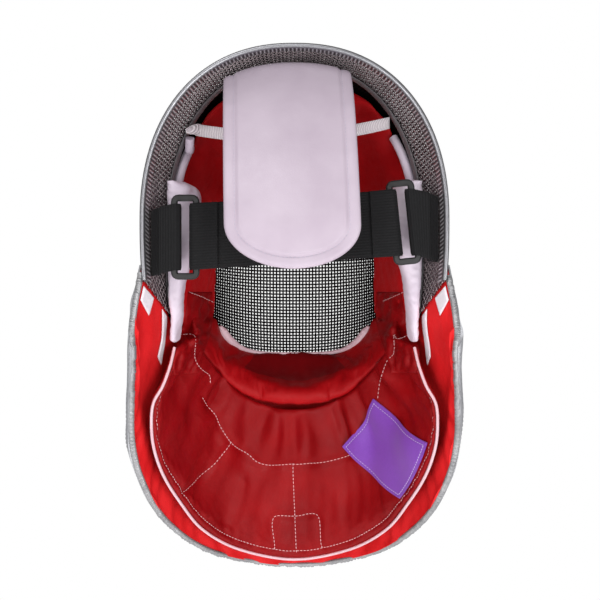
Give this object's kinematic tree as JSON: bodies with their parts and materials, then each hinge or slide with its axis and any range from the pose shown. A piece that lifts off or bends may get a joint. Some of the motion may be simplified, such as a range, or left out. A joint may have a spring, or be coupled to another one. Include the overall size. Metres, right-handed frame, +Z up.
{
  "type": "fencing mask",
  "caption": "Fencing mask with a woven wire face dome, padded red lining, two-layer throat bib, rear spring tongue and elastic head strap",
  "frame": {"origin": "the middle of the forehead pad's inner face, where the mask sits on the head", "axes": "+Z up, face towards -Y, open back towards +Y, wearer's left towards +X"},
  "size_m": [0.2594, 0.2587, 0.4325],
  "materials": {
    "wire_mesh": "woven round steel wire, satin",
    "rim_steel": "polished rolled sheet",
    "strip_steel": "satin sheet strip",
    "red_cloth": "close plain-weave lining cloth, slight sheen",
    "white_vinyl": "coated cloth, soft gloss",
    "white_piping": "folded tape",
    "white_braid": "braided elastic",
    "black_webbing": "ribbed woven elastic",
    "black_plastic": "moulded, satin",
    "silver_cloth": "metallic conductive cloth",
    "purple_label": "woven satin label"
  },
  "bodies": {
    "root": {"front_mesh": "wire_mesh", "side_mesh": "wire_mesh", "rim": "rim_steel", "seam_strip": "strip_steel", "forehead_pad": "red_cloth", "cheek_pad_left": "red_cloth", "cheek_pad_right": "red_cloth", "chin_pad": "red_cloth", "ear_tab_left": "white_vinyl", "ear_tab_right": "white_vinyl", "edge_roll_left": "white_vinyl", "edge_roll_right": "white_vinyl", "tongue": "white_vinyl", "pad_elastic": "white_braid", "strap_centre": "black_webbing", "strap_left": "black_webbing", "strap_right": "black_webbing", "buckle_left": "black_plastic", "buckle_right": "black_plastic", "bib_cover": "silver_cloth", "bib_lining": "red_cloth", "bib_patch_left": "white_vinyl", "bib_patch_right": "white_vinyl", "inner_bib": "red_cloth", "inner_bib_piping": "white_piping", "label": "purple_label", "hanging_tab_left": "white_vinyl", "hanging_tab_right": "white_vinyl"}
  },
  "joints": []
}
